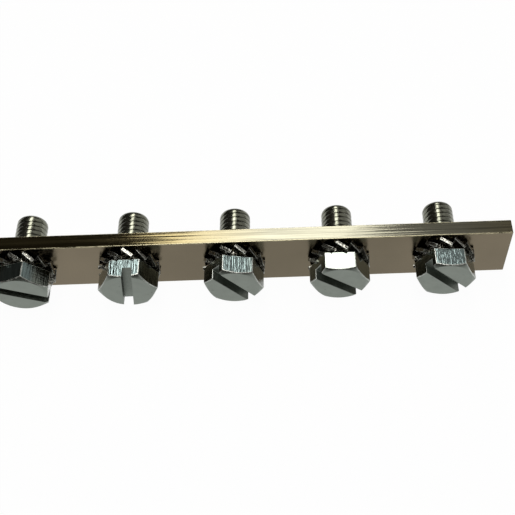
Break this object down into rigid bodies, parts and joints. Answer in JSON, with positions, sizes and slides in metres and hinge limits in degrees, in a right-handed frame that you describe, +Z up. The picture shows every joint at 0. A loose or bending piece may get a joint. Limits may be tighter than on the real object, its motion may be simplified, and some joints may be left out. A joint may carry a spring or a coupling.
{
  "type": "earth terminal bar",
  "caption": "Plated flat earth terminal bar with a row of slotted hexagon-head screws, each on a fan lock washer and screwed through a tapped hole.",
  "frame": {"origin": "centre of the long edge that the bar stands on, midway through its thickness and along its length", "axes": "+X along the bar, to the right when facing the screw heads; +Y through its thickness, from the heads to the thread ends; +Z up across its width"},
  "size_m": [0.105, 0.0169, 0.0125],
  "materials": {
    "bar_plating": "satin nickel-grey plating over brass, darker and stained on the rolled top edge",
    "screw_zinc": "bright zinc-plated steel with turned and sawn marks",
    "washer_steel": "plated spring steel, dark in the gaps between the teeth"
  },
  "bodies": {
    "bar": {"earth_bar": "bar_plating"},
    "washer_1": {"lock_washer_1": "washer_steel"},
    "screw_1": {"terminal_screw_1": "screw_zinc"},
    "washer_2": {"lock_washer_2": "washer_steel"},
    "screw_2": {"terminal_screw_2": "screw_zinc"},
    "washer_3": {"lock_washer_3": "washer_steel"},
    "screw_3": {"terminal_screw_3": "screw_zinc"},
    "washer_4": {"lock_washer_4": "washer_steel"},
    "screw_4": {"terminal_screw_4": "screw_zinc"},
    "washer_5": {"lock_washer_5": "washer_steel"},
    "screw_5": {"terminal_screw_5": "screw_zinc"}
  },
  "joints": [
    {"name": "screw_1_feed", "type": "slide", "parent": "bar", "child": "washer_1", "axis": [0, -1, 0], "range_m": [0, 0.007]},
    {"name": "screw_1_turn", "type": "hinge", "parent": "washer_1", "child": "screw_1", "pos_m": [-0.04, 0, 0.00625], "axis": [0, -1, 0], "range_deg": [0, 2525]},
    {"name": "screw_2_feed", "type": "slide", "parent": "bar", "child": "washer_2", "axis": [0, -1, 0], "range_m": [0, 0.007]},
    {"name": "screw_2_turn", "type": "hinge", "parent": "washer_2", "child": "screw_2", "pos_m": [-0.02, 0, 0.00625], "axis": [0, -1, 0], "range_deg": [0, 2525]},
    {"name": "screw_3_feed", "type": "slide", "parent": "bar", "child": "washer_3", "axis": [0, -1, 0], "range_m": [0, 0.007]},
    {"name": "screw_3_turn", "type": "hinge", "parent": "washer_3", "child": "screw_3", "pos_m": [0, 0, 0.00625], "axis": [0, -1, 0], "range_deg": [0, 2525]},
    {"name": "screw_4_feed", "type": "slide", "parent": "bar", "child": "washer_4", "axis": [0, -1, 0], "range_m": [0, 0.007]},
    {"name": "screw_4_turn", "type": "hinge", "parent": "washer_4", "child": "screw_4", "pos_m": [0.02, 0, 0.00625], "axis": [0, -1, 0], "range_deg": [0, 2525]},
    {"name": "screw_5_feed", "type": "slide", "parent": "bar", "child": "washer_5", "axis": [0, -1, 0], "range_m": [0, 0.007]},
    {"name": "screw_5_turn", "type": "hinge", "parent": "washer_5", "child": "screw_5", "pos_m": [0.04, 0, 0.00625], "axis": [0, -1, 0], "range_deg": [0, 2525]}
  ],
  "couplings": [
    {"joint": "screw_1_turn", "follows": "screw_1_feed", "rad_per_m": 6283.2},
    {"joint": "screw_2_turn", "follows": "screw_2_feed", "rad_per_m": 6283.2},
    {"joint": "screw_3_turn", "follows": "screw_3_feed", "rad_per_m": 6283.2},
    {"joint": "screw_4_turn", "follows": "screw_4_feed", "rad_per_m": 6283.2},
    {"joint": "screw_5_turn", "follows": "screw_5_feed", "rad_per_m": 6283.2}
  ]
}
